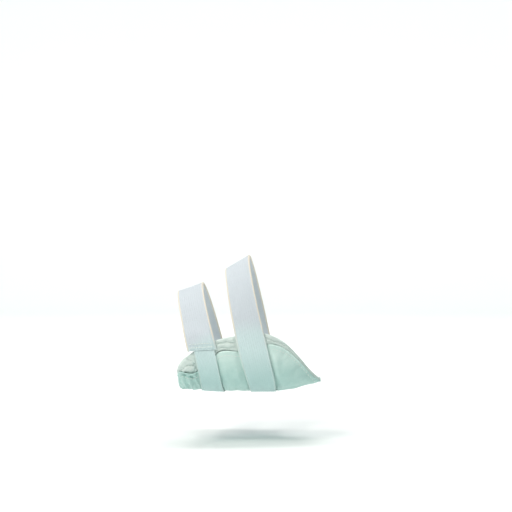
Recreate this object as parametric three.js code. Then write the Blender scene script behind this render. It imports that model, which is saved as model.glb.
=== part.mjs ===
// Arch support brace: a foam arch cushion with a smooth outer cover, a gathered top rim and two
// elastic straps that loop over the instep, down the outer side of the foot and under the sole.
// It is modelled in the form that it has when worn. Millimetres, +X to the heel, +Y to the outer
// side of the foot, +Z up, with the origin in the middle of the arch seat.
import * as THREE from 'three';

// Sizes of the cushion.
const PAD_LENGTH = 87;
const PAD_HEIGHT = 36.7;
const PAD_REACH = 46;
const ARCH_HEIGHT = 16;
const LIP_DEPTH = 5.3;
const LIP_THICKNESS = 1.6;
const EDGE_THICKNESS = 1.6;
const CUSHION_SPAN = { start: 0.02, end: 0.93 };

// Sizes of the wrapped foot, which the loops follow. Widths are measured from the instep's crest.
const INSTEP_HEIGHT = 82;
const MEDIAL_WIDTH = 37.5;
const LATERAL_WIDTH = 43;
const LEAN = THREE.MathUtils.degToRad(12.4);

// Sizes of the cloth.
const COVER_THICKNESS = 1.3;
const LAYER_GAP = 0.3;
const SEAM_GAP = 0.7;
const RIM_WIDTH = 11.5;
const RIM_FOLD = 0.9;
const SWELL = 1.4;
const END_ROUND = 1;

// Sizes of the straps, with the station where each one crosses the cushion.
const STRAP_WIDTH = 17.4;
const STRAP_THICKNESS = 1.3;
const FRONT_STRAP_AT = 18;
const REAR_STRAP_AT = 49.9;
const LAP_FOOT_HEIGHT = 25.6;
const LAP_LENGTH = 6.5;
const LAP_SLANT = 0.65;

// How the section curve bends in each quarter: 2 is an ellipse, and more is squarer.
const BENDS = { topMedial: 1.8, topLateral: 1.8, baseMedial: 2.8, baseLateral: 2.6 };
const WIDEST_LEVEL = 0.45;
const LEAST_TURN = 2.6;
const LEAST_HEIGHT = 0.3;

// The outline, one row for each section from the toe end to the heel tip. "at" is a share of
// PAD_LENGTH, base and top of PAD_HEIGHT, and the others of the size with their name.
const OUTLINE = [
  { at: 0.0, instep: 0.69, medial: 0.9, lateral: 1.06, base: 0.024, top: 0.376 },
  { at: 0.02, instep: 0.696, medial: 0.955, lateral: 1.06, base: 0.026, top: 0.458 },
  { at: 0.06, instep: 0.71, medial: 0.99, lateral: 1.055, base: 0.033, top: 0.566 },
  { at: 0.11, instep: 0.727, medial: 1.0, lateral: 1.05, base: 0.037, top: 0.646 },
  { at: 0.2, instep: 0.756, medial: 1.0, lateral: 1.04, base: 0.017, top: 0.774 },
  { at: 0.33, instep: 0.808, medial: 0.987, lateral: 1.02, base: 0.002, top: 0.893 },
  { at: 0.465, instep: 0.884, medial: 0.965, lateral: 1.0, base: 0.0, top: 0.956 },
  { at: 0.57, instep: 0.942, medial: 0.935, lateral: 0.97, base: 0.0, top: 0.992 },
  { at: 0.665, instep: 0.995, medial: 0.89, lateral: 0.94, base: 0.002, top: 0.995 },
  { at: 0.745, instep: 1.04, medial: 0.845, lateral: 0.93, base: 0.01, top: 0.926 },
  { at: 0.81, instep: 1.08, medial: 0.79, lateral: 0.92, base: 0.026, top: 0.808 },
  { at: 0.88, instep: 1.11, medial: 0.725, lateral: 0.91, base: 0.068, top: 0.582 },
  { at: 0.94, instep: 1.14, medial: 0.655, lateral: 0.905, base: 0.095, top: 0.352 },
  { at: 1.0, instep: 1.16, medial: 0.58, lateral: 0.9, base: 0.122, top: 0.213 },
];

// The padding, in the same way: rim is a share of RIM_WIDTH, reach of PAD_REACH, arch of
// ARCH_HEIGHT, and lip of both LIP_DEPTH and LIP_THICKNESS.
const PADDING = [
  { at: 0.0, rim: 0.15, reach: 0.4, arch: 0.28, lip: 0.5 },
  { at: 0.02, rim: 0.24, reach: 0.53, arch: 0.34, lip: 0.62 },
  { at: 0.06, rim: 0.62, reach: 0.66, arch: 0.44, lip: 0.8 },
  { at: 0.11, rim: 0.92, reach: 0.77, arch: 0.58, lip: 1 },
  { at: 0.2, rim: 0.98, reach: 0.89, arch: 0.78, lip: 1 },
  { at: 0.33, rim: 0.6, reach: 0.97, arch: 0.93, lip: 1 },
  { at: 0.465, rim: 0.76, reach: 1, arch: 1, lip: 1 },
  { at: 0.665, rim: 0.52, reach: 0.97, arch: 0.94, lip: 1 },
  { at: 0.81, rim: 0.36, reach: 0.84, arch: 0.68, lip: 0.85 },
  { at: 0.94, rim: 0.22, reach: 0.6, arch: 0.34, lip: 0.5 },
  { at: 1.0, rim: 0.14, reach: 0.36, arch: 0.24, lip: 0.4 },
];

// Each strap's course round its loop, from the crest of the instep (0) down the arch side (0.25),
// under the sole (0.5) and up the outer side (0.75). Shift moves it to the heel. Shift and width are
// shares of STRAP_WIDTH. The front strap is sewn narrow at its lower end.
const FRONT_COURSE = [
  { turn: 0.15, shift: 0.086, width: 0.724 },
  { turn: 0.3, shift: 0.086, width: 0.735 },
  { turn: 0.5, shift: 0.063, width: 0.83 },
  { turn: 0.62, shift: 0.098, width: 0.95 },
  { turn: 0.75, shift: 0.149, width: 1 },
  { turn: 0.9, shift: 0.066, width: 1 },
  { turn: 1.0, shift: 0.006, width: 1 },
  { turn: 1.09, shift: -0.023, width: 0.99 },
  { turn: 1.14, shift: -0.009, width: 1 },
  { turn: 1.18, shift: 0.006, width: 1.03 },
  { turn: 1.22, shift: 0.029, width: 1.03 },
];
const REAR_COURSE = [
  { turn: 0.0, shift: 0.097, width: 0.99 },
  { turn: 0.08, shift: 0, width: 0.98 },
  { turn: 0.15, shift: -0.055, width: 1 },
  { turn: 0.2, shift: -0.06, width: 1.02 },
  { turn: 0.3, shift: -0.011, width: 0.98 },
  { turn: 0.4, shift: 0.006, width: 0.93 },
  { turn: 0.5, shift: 0.023, width: 0.92 },
  { turn: 0.75, shift: 0.161, width: 0.97 },
  { turn: 0.9, shift: 0.158, width: 0.99 },
  { turn: 1.0, shift: 0.097, width: 0.99 },
];

// Smooth curves through a table's columns, read at a length along its first one.
const { smoothstep, lerp } = THREE.MathUtils;
function columnCurves(rows, whole) {
  const [key, ...names] = Object.keys(rows[0]);
  const places = rows.map((row) => row[key] * whole);
  const shares = (name) => rows.map((row) => row[name]);
  const curves = names.map((name) => [name, new THREE.CubicInterpolant(places, shares(name), 1)]);
  return Object.fromEntries(curves);
}
const padCurves = { ...columnCurves(OUTLINE, PAD_LENGTH), ...columnCurves(PADDING, PAD_LENGTH) };
function share(name, station) {
  return padCurves[name].evaluate(station)[0];
}

// The section of the wrapped foot at a station: four quarters about its widest level.
function sectionAt(station) {
  const base = share('base', station) * PAD_HEIGHT;
  const top = share('top', station) * PAD_HEIGHT;
  const below = Math.hypot(WIDEST_LEVEL * (top - base), LEAST_TURN);
  const widest = base + below;
  return {
    base,
    top,
    widest,
    below,
    above: share('instep', station) * INSTEP_HEIGHT - widest,
    medial: share('medial', station) * MEDIAL_WIDTH,
    lateral: share('lateral', station) * LATERAL_WIDTH,
  };
}

// How far the two ends of the padding turn inwards at a station.
function endTurn(station) {
  const inside = Math.min(station, PAD_LENGTH - station);
  const toEdge = Math.max(0, END_ROUND - inside);
  return END_ROUND - Math.sqrt(END_ROUND ** 2 - Math.min(toEdge, END_ROUND) ** 2);
}

// The point of the section at an angle, a depth inside it: 0 is the outer side, a quarter turn the
// crest of the instep, a half turn the arch side, three quarters the sole. Sections lean to the toes.
function wrappedPoint(station, angle, depth = 0) {
  const section = sectionAt(station);
  const cosine = Math.cos(angle);
  const sine = Math.sin(angle);
  const half = sine >= 0 ? 'top' : 'base';
  const power = 2 / BENDS[half + (cosine < 0 ? 'Medial' : 'Lateral')];
  const width = (cosine < 0 ? section.medial : section.lateral) - depth;
  const full = sine >= 0 ? section.above : section.below;
  const height = Math.max(full - depth, LEAST_HEIGHT * full);
  const y = Math.sign(cosine) * width * Math.abs(cosine) ** power;
  const z = section.widest + Math.sign(sine) * height * Math.abs(sine) ** power;
  return new THREE.Vector3(station - z * Math.tan(LEAN), y, z);
}

// The direction square to the surface, outwards.
function outward(station, angle) {
  const TURN = 0.02;
  const STRIDE = 0.4;
  const around = wrappedPoint(station, angle + TURN).sub(wrappedPoint(station, angle - TURN));
  const along = wrappedPoint(station + STRIDE, angle).sub(wrappedPoint(station - STRIDE, angle));
  return around.cross(along).normalize();
}

// A point of the padding: a depth inside the surface, then lifted square to it.
function paddingPoint(station, angle, depth, lift) {
  const point = wrappedPoint(station, angle, depth + endTurn(station));
  return point.addScaledVector(outward(station, angle), lift);
}

// The angle at a share of a quarter's height or width, for a quarter's bend.
function quarterTurn(part, whole, bend) {
  return Math.asin(Math.min(1, Math.abs(part) / whole) ** (bend / 2));
}

// The angle on the arch side at a height, and at a depth below the padding's top edge.
function angleAtHeight(station, height) {
  const { widest, above, below } = sectionAt(station);
  const rise = height - widest;
  if (rise >= 0) {
    return Math.PI - quarterTurn(rise, above, BENDS.topMedial);
  }
  return Math.PI + quarterTurn(rise, below, BENDS.baseMedial);
}
function angleAtDepth(station, depth) {
  return angleAtHeight(station, sectionAt(station).top - depth);
}

// The angle under the sole where the padding ends.
function innerEdgeAngle(station) {
  const { medial, lateral } = sectionAt(station);
  const across = share('reach', station) * PAD_REACH - medial;
  if (across < 0) {
    return 1.5 * Math.PI - quarterTurn(across, medial, BENDS.baseMedial);
  }
  return 1.5 * Math.PI + quarterTurn(across, lateral, BENDS.baseLateral);
}

function seamDepth(station) {
  return share('rim', station) * RIM_WIDTH;
}
function seamAngle(station) {
  return angleAtDepth(station, seamDepth(station) + SEAM_GAP);
}

// A strap: the station of its middle, and its width, at an angle round its loop.
function strapAlong(at, course) {
  const curves = columnCurves(course, 2 * Math.PI);
  const fromCrest = (angle) => angle - 0.5 * Math.PI;
  return {
    middle: (angle) => at + STRAP_WIDTH * curves.shift.evaluate(fromCrest(angle))[0],
    width: (angle) => STRAP_WIDTH * curves.width.evaluate(fromCrest(angle))[0],
  };
}
const frontStrap = strapAlong(FRONT_STRAP_AT, FRONT_COURSE);
const rearStrap = strapAlong(REAR_STRAP_AT, REAR_COURSE);

// The padding swells between the straps, which press it flat, and is flat at its two ends.
function clearOf(strap, station, angle) {
  return Math.abs(station - strap.middle(angle)) - strap.width(angle) / 2;
}
function freeShare(station, angle) {
  const beside = clearOf(frontStrap, station, angle + 2 * Math.PI);
  const clear = Math.min(beside, clearOf(rearStrap, station, angle));
  const fromEnds = smoothstep(station, 0, 6) * smoothstep(PAD_LENGTH - station, 0, 28);
  return smoothstep(clear, 0.6, 7) * fromEnds;
}
function swellAt(station, angle) {
  const seam = seamAngle(station);
  const down = lerp(0.12, 1, (angle - seam) / (1.45 * Math.PI - seam));
  const belly = Math.sin(Math.PI * THREE.MathUtils.clamp(down, 0, 1) ** 0.75);
  return SWELL * belly * freeShare(station, angle);
}

// A ring's outline on its own flat plane, turned so that it runs anticlockwise.
function flattened(ring) {
  const facing = new THREE.Vector3();
  ring.forEach((point, i) => {
    const next = ring[(i + 1) % ring.length];
    facing.add(new THREE.Vector3().crossVectors(point, next));
  });
  const up = new THREE.Vector3(0, 0, 1);
  const turn = new THREE.Quaternion().setFromUnitVectors(facing.normalize(), up);
  return ring.map((point) => {
    const { x, y } = point.clone().applyQuaternion(turn);
    return new THREE.Vector2(x, y);
  });
}

// A closed solid through rings of points, each ring a closed outline. Each four-sided patch is split
// across its shorter diagonal. An endless solid joins its last ring to the first, and the others
// have a flat face at each end.
function solidThrough(rings, endless = false) {
  const size = rings[0].length;
  const points = rings.flat();
  const indices = [];
  const spans = endless ? rings.length : rings.length - 1;
  for (let i = 0; i < spans; i += 1) {
    const next = (i + 1) % rings.length;
    for (let j = 0; j < size; j += 1) {
      const beside = (j + 1) % size;
      const [a, b, c, d] = [i * size + j, i * size + beside, next * size + beside, next * size + j];
      if (points[a].distanceTo(points[c]) < points[b].distanceTo(points[d])) {
        indices.push(a, b, c, a, c, d);
      } else {
        indices.push(a, b, d, b, c, d);
      }
    }
  }
  if (!endless) {
    const last = (rings.length - 1) * size;
    for (const [a, b, c] of THREE.ShapeUtils.triangulateShape(flattened(rings[0]), [])) {
      indices.push(a, c, b);
    }
    for (const [a, b, c] of THREE.ShapeUtils.triangulateShape(flattened(rings.at(-1)), [])) {
      indices.push(last + a, last + b, last + c);
    }
  }
  const geometry = new THREE.BufferGeometry().setFromPoints(points);
  geometry.setIndex(indices);
  geometry.computeVertexNormals();
  return geometry;
}

function evenly(count, start, end) {
  return Array.from({ length: count + 1 }, (_, i) => lerp(start, end, i / count));
}

// Angles from one to another that lie evenly along the surface, at stations given by the angle.
function evenAngles(count, start, end, stationAt) {
  const FINE = 300;
  const fine = evenly(FINE, start, end);
  const points = fine.map((angle) => wrappedPoint(stationAt(angle), angle));
  const lengths = [0];
  for (let i = 1; i <= FINE; i += 1) {
    lengths.push(lengths[i - 1] + points[i].distanceTo(points[i - 1]));
  }
  const curve = new THREE.LinearInterpolant(lengths, fine, 1);
  return evenly(count, 0, lengths[FINE]).map((length) => curve.evaluate(length)[0]);
}

// Stations of the padding's sections, closer together towards its two ends. Its pieces share them,
// so that their layers and seams meet.
const padStations = evenly(44, 0, 1).map((part) => {
  const eased = part - 0.11 * Math.sin(2 * Math.PI * part);
  return eased * PAD_LENGTH;
});

// The cushion's foot side: from the lip down the wall, over the arch and to the thin inner edge.
const INSET = COVER_THICKNESS + LAYER_GAP;
const LIP_TOP = COVER_THICKNESS + SEAM_GAP;
function lipThickness(station) {
  return share('lip', station) * LIP_THICKNESS;
}
function seatCurve(station) {
  const lipDepth = share('lip', station) * LIP_DEPTH;
  const lipInset = INSET + lipThickness(station);
  const lipFoot = paddingPoint(station, angleAtDepth(station, lipDepth), lipInset, 0);
  const edge = paddingPoint(station, innerEdgeAngle(station), INSET + EDGE_THICKNESS, 0);
  const archTop = sectionAt(station).base + share('arch', station) * ARCH_HEIGHT;
  const archLevel = Math.min(Math.max(archTop, edge.z), lipFoot.z);
  const wall = new THREE.Vector3(0, lerp(lipFoot.y, edge.y, 0.03), lerp(lipFoot.z, archLevel, 0.75));
  const arch = new THREE.Vector3(0, lerp(lipFoot.y, edge.y, 0.4), archLevel);
  wall.x = station - wall.z * Math.tan(LEAN);
  arch.x = station - arch.z * Math.tan(LEAN);
  return new THREE.CubicBezierCurve3(lipFoot, wall, arch, edge);
}

// The angles of the cover's lines round a section, from its seam to the inner edge.
function coverAngles(station) {
  return evenAngles(20, seamAngle(station), innerEdgeAngle(station), () => station);
}

// The cushion: outwards it follows the cover, with a lip up inside the rim.
function cushionRing(station) {
  const lipDepth = share('lip', station) * LIP_DEPTH;
  const lipInset = INSET + lipThickness(station);
  const seam = seamAngle(station);
  const lipAngles = evenly(4, angleAtDepth(station, LIP_TOP), seam).slice(0, -1);
  const outside = [...lipAngles, ...coverAngles(station)].map((angle) => {
    const filled = smoothstep(angle - seam, 0.02, 0.2);
    return paddingPoint(station, angle, INSET, swellAt(station, angle) * filled);
  });
  const footSide = seatCurve(station).getPoints(10).reverse();
  const lip = evenly(3, lipDepth, LIP_TOP).slice(1);
  const lipSide = lip.map((depth) => paddingPoint(station, angleAtDepth(station, depth), lipInset, 0));
  return [...outside, ...footSide, ...lipSide];
}
function cushionGeometry() {
  const start = CUSHION_SPAN.start * PAD_LENGTH;
  const end = CUSHION_SPAN.end * PAD_LENGTH;
  const stations = padStations.filter((station) => station > start && station < end);
  return solidThrough(stations.map(cushionRing));
}

// The outer cover: one cloth from the seam under the rim to the inner edge, over the cushion.
function coverRing(station) {
  const angles = coverAngles(station);
  const layer = (depth) => angles.map((angle) => paddingPoint(station, angle, depth, swellAt(station, angle)));
  return [...layer(0), ...layer(COVER_THICKNESS).reverse()];
}
function coverGeometry() {
  return solidThrough(padStations.map(coverRing));
}

// The gathered rim: a cloth binding over the cushion's lip. One row for each line along its outer
// face: the depth below its top edge as a share of the seam's, and its fold as a share of RIM_FOLD.
const RIM_FACE = [
  { depth: 0.16, fold: 0.4 },
  { depth: 0.28, fold: 0.85 },
  { depth: 0.4, fold: 0.3 },
  { depth: 0.52, fold: -0.3 },
  { depth: 0.64, fold: 0.35 },
  { depth: 0.78, fold: 0.75 },
  { depth: 0.9, fold: 0.2 },
  { depth: 1.0, fold: -0.35 },
];
function rimRing(station) {
  const seam = seamDepth(station);
  const lipBack = INSET + lipThickness(station);
  const footSide = lipBack + LAYER_GAP + COVER_THICKNESS;
  const legDepth = share('lip', station) * LIP_DEPTH - 2 * LAYER_GAP;
  const free = freeShare(station, Math.PI);
  const fromEnds = smoothstep(Math.min(station, PAD_LENGTH - station), 0, 5);
  const place = (down, depth, lift = 0) => paddingPoint(station, angleAtDepth(station, down), depth, lift);
  const face = RIM_FACE.map(({ depth, fold }, i) => {
    const gather = 1 + 0.25 * Math.sin(0.9 * station + i);
    const lift = RIM_FOLD * fold * gather * fromEnds;
    return place(depth * seam, 0, lift > 0 ? lift * free : lift);
  });
  const roll = evenly(4, 0.85, 0.15).map((part) => {
    const down = 0.12 * footSide * (1 - Math.sin(Math.PI * part));
    return place(down, footSide * part);
  });
  return [
    ...face,
    place(seam, COVER_THICKNESS),
    place(0.65 * seam, COVER_THICKNESS),
    place(0.35 * seam, COVER_THICKNESS),
    place(COVER_THICKNESS, COVER_THICKNESS),
    place(COVER_THICKNESS, lipBack + LAYER_GAP),
    place(legDepth, lipBack + LAYER_GAP),
    place(legDepth, footSide),
    place(legDepth / 2, footSide),
    ...roll,
  ];
}
function rimGeometry() {
  return solidThrough(padStations.map(rimRing));
}

// A strap's cross-section at an angle, lifted off the surface: a flat band with thin side edges.
// Slant turns it from a line of one angle, at 0, to a level line, at 1.
function strapRing(strap, angle, lift, slant = 0) {
  const half = strap.width(angle) / 2;
  const shoulder = half - 0.3 * STRAP_THICKNESS;
  const low = LAYER_GAP + lift;
  const high = low + STRAP_THICKNESS;
  const core = (low + high) / 2;
  const outline = [
    [-half, core],
    [-shoulder, low],
    [0, low],
    [shoulder, low],
    [half, core],
    [shoulder, high],
    [0, high],
    [-shoulder, high],
  ];
  const middle = strap.middle(angle);
  const level = wrappedPoint(middle, angle).z;
  return outline.map(([across, height]) => {
    const station = middle + across;
    const turned = angleAtHeight(station, level) - angleAtHeight(middle, level);
    const place = angle + slant * turned;
    return wrappedPoint(station, place).addScaledVector(outward(station, place), height);
  });
}

// The rear strap is one endless loop.
function rearStrapGeometry() {
  const angles = evenAngles(88, 0.5 * Math.PI, 2.5 * Math.PI, rearStrap.middle).slice(1);
  return solidThrough(angles.map((angle) => strapRing(rearStrap, angle, 0)), true);
}

// The front strap is a loop with its two ends sewn over each other on the arch side.
function frontStrapGeometry() {
  const lapFoot = angleAtHeight(FRONT_STRAP_AT, LAP_FOOT_HEIGHT);
  const lapHead = angleAtHeight(FRONT_STRAP_AT, LAP_FOOT_HEIGHT + LAP_LENGTH);
  const lapTurn = lapFoot - lapHead;
  const lapStep = STRAP_THICKNESS + LAYER_GAP;
  const angles = evenAngles(90, lapHead, lapFoot + 2 * Math.PI, frontStrap.middle);
  const rings = angles.map((angle) => {
    const beforeLap = lapHead + 2 * Math.PI - angle;
    const lift = lapStep * (1 - smoothstep(beforeLap, 0.02, 2 * lapTurn));
    const fromEnd = Math.min(angle - lapHead, lapFoot + 2 * Math.PI - angle);
    const slant = LAP_SLANT * (1 - smoothstep(fromEnd, 0.1, 0.9));
    return strapRing(frontStrap, angle, lift, slant);
  });
  return solidThrough(rings);
}

// Materials: the foam's brushed liner, the cover's smooth knit, the rim's knit and the elastic.
const liner = new THREE.MeshStandardMaterial({ color: 0xe4efe8, roughness: 0.95, metalness: 0 });
const coverKnit = new THREE.MeshStandardMaterial({ color: 0xcfe4dc, roughness: 0.85, metalness: 0 });
const rimKnit = new THREE.MeshStandardMaterial({ color: 0xe6ece2, roughness: 0.95, metalness: 0 });
const frontElastic = new THREE.MeshStandardMaterial({ color: 0xe3e9ec, roughness: 0.8, metalness: 0 });
const rearElastic = frontElastic.clone();

// The brace, moved so that the middle of the arch seat, where the foot bears, is the origin.
const brace = new THREE.Group();
brace.position.copy(seatCurve(PAD_LENGTH / 2).getPoint(0.5)).negate();
const pieces = {
  arch_cushion: [cushionGeometry(), liner],
  outer_cover: [coverGeometry(), coverKnit],
  top_rim: [rimGeometry(), rimKnit],
  front_strap: [frontStrapGeometry(), frontElastic],
  rear_strap: [rearStrapGeometry(), rearElastic],
};
for (const [name, [geometry, material]] of Object.entries(pieces)) {
  const mesh = new THREE.Mesh(geometry, material);
  mesh.name = name;
  brace.add(mesh);
}

export default brace;
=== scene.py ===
"""Arch support brace: its cushion, cover, gathered rim and elastic straps, as Blender shows them.

Tables and sizes are in millimetres, or in shares of the size that they name. +X is to the heel, +Y
to the outer side of the foot and +Z up. A station is a length along the padding from its toe end.
An angle goes round a section of the wrapped foot: 0 is the outer side, a quarter turn the crest of
the instep, a half turn the arch side and three quarters the sole.
"""

import math
from types import SimpleNamespace

import bpy
import numpy as np
from bpy.props import FloatProperty, PointerProperty
from bpy.types import Operator, Panel, PropertyGroup
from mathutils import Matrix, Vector


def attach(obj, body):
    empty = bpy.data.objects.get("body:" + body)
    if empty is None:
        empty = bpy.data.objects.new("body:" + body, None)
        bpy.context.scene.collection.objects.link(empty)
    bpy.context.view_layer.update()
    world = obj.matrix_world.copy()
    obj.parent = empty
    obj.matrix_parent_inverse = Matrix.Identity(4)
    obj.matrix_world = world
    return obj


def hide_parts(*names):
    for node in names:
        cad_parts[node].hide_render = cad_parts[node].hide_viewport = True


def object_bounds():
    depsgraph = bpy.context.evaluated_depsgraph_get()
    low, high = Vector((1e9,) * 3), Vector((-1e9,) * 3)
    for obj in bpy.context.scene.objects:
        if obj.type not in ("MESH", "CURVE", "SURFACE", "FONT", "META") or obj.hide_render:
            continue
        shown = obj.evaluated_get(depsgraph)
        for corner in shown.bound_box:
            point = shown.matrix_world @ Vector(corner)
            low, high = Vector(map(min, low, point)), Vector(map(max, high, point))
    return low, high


bl_info = {
    "name": "Arch Support Brace",
    "version": (1, 0),
    "blender": (4, 5, 0),
    "location": "3D View > Sidebar > Brace",
    "description": "Draws an arch support brace in cloth, foam and elastic",
    "category": "Add Mesh",
}

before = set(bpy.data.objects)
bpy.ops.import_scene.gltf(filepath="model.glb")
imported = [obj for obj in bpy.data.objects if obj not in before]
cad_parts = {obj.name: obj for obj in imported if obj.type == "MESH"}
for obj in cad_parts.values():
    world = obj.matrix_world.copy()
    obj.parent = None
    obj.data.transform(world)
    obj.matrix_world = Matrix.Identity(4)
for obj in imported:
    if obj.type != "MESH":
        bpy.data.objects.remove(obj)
CAD_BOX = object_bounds()

MM = 0.001

# Sizes of the padding and of the foot that it wraps.
PAD_LENGTH = 87.0
PAD_HEIGHT = 36.7
PAD_REACH = 46.0
ARCH_HEIGHT = 16.0
LIP_DEPTH = 5.3
LIP_THICKNESS = 1.6
EDGE_THICKNESS = 1.6
INSTEP_HEIGHT = 82.0
MEDIAL_WIDTH = 37.5
LATERAL_WIDTH = 43.0
LEAN = math.tan(math.radians(12.4))
SEAT = np.array([39.675, -19.591, 17.397])

# Sizes of the cloth and the straps.
COVER_THICKNESS = 1.3
LAYER_GAP = 0.3
SEAM_GAP = 0.7
INSET = COVER_THICKNESS + LAYER_GAP
RIM_WIDTH = 11.5
TOE_ROUND = 1.0
TIP_ROUND = 2.2
TOE_SPREAD = 1.1
STRAP_WIDTH = 17.4
STRAP_THICKNESS = 1.3
FRONT_STRAP_AT = 18.0
REAR_STRAP_AT = 49.9
LAP_FOOT_HEIGHT = 25.6
LAP_LENGTH = 6.5
LAP_SLANT = 0.65
HEM_RISE = 0.34
STITCH_DENT = 0.22

# Sizes of the stitches. Rows across a strap are given by their length back along it, and
# ARCH_RADIUS turns that length into an angle.
THREAD = 0.34
LAP_ROWS = (1.3, 2.9)
JOIN_ROWS = (-1.6, 0.0, 1.6)
JOIN_ANGLE = 1.56 * math.pi
ROW_HALF = 0.78
OVERLOCK_PITCH = 1.1
ARCH_RADIUS = 37.0

# The simulation's size and length.
SIM_SCALE = 20
SIM_FRAMES = 20

# The stage, in metres: where the camera stands and how wide its sensor is in millimetres, and the
# paper's half side, the circle in which it is level and how it bends up past that.
CAMERA_PLACE = (0.005525, -0.78041, 0.0659)
SENSOR_WIDTH = 36.0
PAPER_HALF = 3.0
PAPER_LEVEL = 1.8
PAPER_BEND = 0.8
PAPER_PARTS = 100

# The pitch of a wave texture's bands at a scale of 1, in metres.
WAVE_PITCH = 0.314

# How a section bends in each quarter, where 2 is an ellipse, and where it is widest.
BENDS = SimpleNamespace(top_medial=1.8, top_lateral=1.8, base_medial=2.8, base_lateral=2.6)
WIDEST_LEVEL = 0.45
LEAST_TURN = 2.6
LEAST_HEIGHT = 0.3


def table(names, *rows):
    """The rows' columns by name."""
    return dict(zip(names.split(), np.array(rows, float).T))


# Sections from the toe end to the heel tip: base and top are shares of PAD_HEIGHT.
OUTLINE = table(
    "at instep medial lateral base top",
    (0.0, 0.69, 0.9, 1.06, 0.024, 0.376),
    (0.02, 0.696, 0.955, 1.06, 0.026, 0.458),
    (0.06, 0.71, 0.99, 1.055, 0.033, 0.566),
    (0.11, 0.727, 1.0, 1.05, 0.037, 0.646),
    (0.2, 0.756, 1.0, 1.04, 0.017, 0.774),
    (0.33, 0.808, 0.987, 1.02, 0.002, 0.893),
    (0.465, 0.884, 0.965, 1.0, 0.0, 0.956),
    (0.57, 0.942, 0.935, 0.97, 0.0, 0.992),
    (0.665, 0.995, 0.89, 0.94, 0.002, 0.995),
    (0.745, 1.04, 0.845, 0.93, 0.01, 0.926),
    (0.81, 1.08, 0.79, 0.92, 0.026, 0.808),
    (0.88, 1.11, 0.725, 0.91, 0.068, 0.582),
    (0.94, 1.14, 0.655, 0.905, 0.098, 0.352),
    (1.0, 1.16, 0.58, 0.9, 0.145, 0.195),
)

# The padding: shares of RIM_WIDTH, PAD_REACH, ARCH_HEIGHT and the lip's sizes.
PADDING = table(
    "at rim reach arch lip",
    (0.0, 0.15, 0.4, 0.28, 0.5),
    (0.02, 0.24, 0.53, 0.34, 0.62),
    (0.06, 0.62, 0.66, 0.44, 0.8),
    (0.11, 0.92, 0.77, 0.58, 1.0),
    (0.2, 0.98, 0.89, 0.78, 1.0),
    (0.33, 0.6, 0.97, 0.93, 1.0),
    (0.465, 0.76, 1.0, 1.0, 1.0),
    (0.665, 0.52, 0.97, 0.94, 1.0),
    (0.81, 0.36, 0.84, 0.68, 0.85),
    (0.94, 0.18, 0.6, 0.34, 0.5),
    (1.0, 0.05, 0.36, 0.24, 0.4),
)

# Each strap's course by turns from the instep's crest: its shift to the heel and its width, both
# shares of STRAP_WIDTH.
FRONT_COURSE = table(
    "at shift width",
    (0.15, 0.086, 0.724),
    (0.3, 0.086, 0.735),
    (0.5, 0.063, 0.83),
    (0.62, 0.098, 0.95),
    (0.75, 0.149, 1.0),
    (0.9, 0.066, 1.0),
    (1.0, 0.006, 1.0),
    (1.09, -0.023, 0.99),
    (1.14, -0.009, 1.0),
    (1.18, 0.006, 1.03),
    (1.22, 0.029, 1.03),
)
REAR_COURSE = table(
    "at shift width",
    (0.0, 0.097, 0.99),
    (0.08, 0.0, 0.98),
    (0.15, -0.055, 1.0),
    (0.2, -0.06, 1.02),
    (0.3, -0.011, 0.98),
    (0.4, 0.006, 0.93),
    (0.5, 0.023, 0.92),
    (0.75, 0.161, 0.97),
    (0.9, 0.158, 0.99),
    (1.0, 0.097, 0.99),
)

# Creases pressed into the cover, by station and height: the way each runs in degrees above +X, and
# its half length, half width and depth.
COVER_CREASES = table(
    "station height way length width depth",
    (5.2, 8.5, -78, 6.0, 1.0, 1.3),
    (9.4, 8.0, -72, 5.5, 0.9, 0.9),
    (2.0, 6.5, -64, 4.5, 0.8, 0.8),
    (7.0, 10.6, -14, 6.0, 0.9, 1.0),
    (3.4, 3.4, -24, 4.0, 0.7, 0.45),
    (7.6, 4.6, 28, 3.5, 0.7, 0.4),
    (66.0, 20.5, 62, 7.0, 1.6, 0.35),
    (69.8, 21.5, 42, 4.0, 0.8, 0.3),
    (72.5, 13.0, 40, 7.0, 1.5, 0.25),
    (74.6, 15.2, 30, 4.0, 0.7, 0.2),
    (77.5, 9.0, 28, 5.0, 1.1, 0.35),
    (80.5, 8.2, 18, 3.0, 0.6, 0.25),
    (34.5, 5.0, 80, 5.0, 2.0, 0.25),
)


def read(rows, name, at):
    """A column at any place along the first one: a cubic between two rows, with the slope at each
    row of the line between its neighbours."""
    places, values = rows["at"], rows[name]
    last = len(places) - 2
    at = np.clip(at, places[0], places[-1])
    i = np.clip(np.searchsorted(places, at, side="right") - 1, 0, last)
    start, end = places[i], places[i + 1]
    after = np.minimum(i + 2, last + 1)
    before_place = np.where(i == 0, end, places[i - 1])
    before_value = np.where(i == 0, values[i + 1], values[i - 1])
    after_place = np.where(i == last, start, places[after])
    after_value = np.where(i == last, values[i], values[after])
    half = (end - start) / 2
    back, ahead = half / (start - before_place), half / (after_place - end)
    p = (at - start) / (end - start)
    return (
        back * (-(p**3) + 2 * p**2 - p) * before_value
        + ((1 + back) * p**3 - (1.5 + 2 * back) * p**2 + (back - 0.5) * p + 1) * values[i]
        + (-(1 + ahead) * p**3 + (1.5 + ahead) * p**2 + 0.5 * p) * values[i + 1]
        + ahead * (p**3 - p**2) * after_value
    )


def smoothstep(x, low, high):
    """0 below low, 1 above high, and 3t² - 2t³ between them."""
    t = np.clip((x - low) / (high - low), 0, 1)
    return t * t * (3 - 2 * t)


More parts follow.
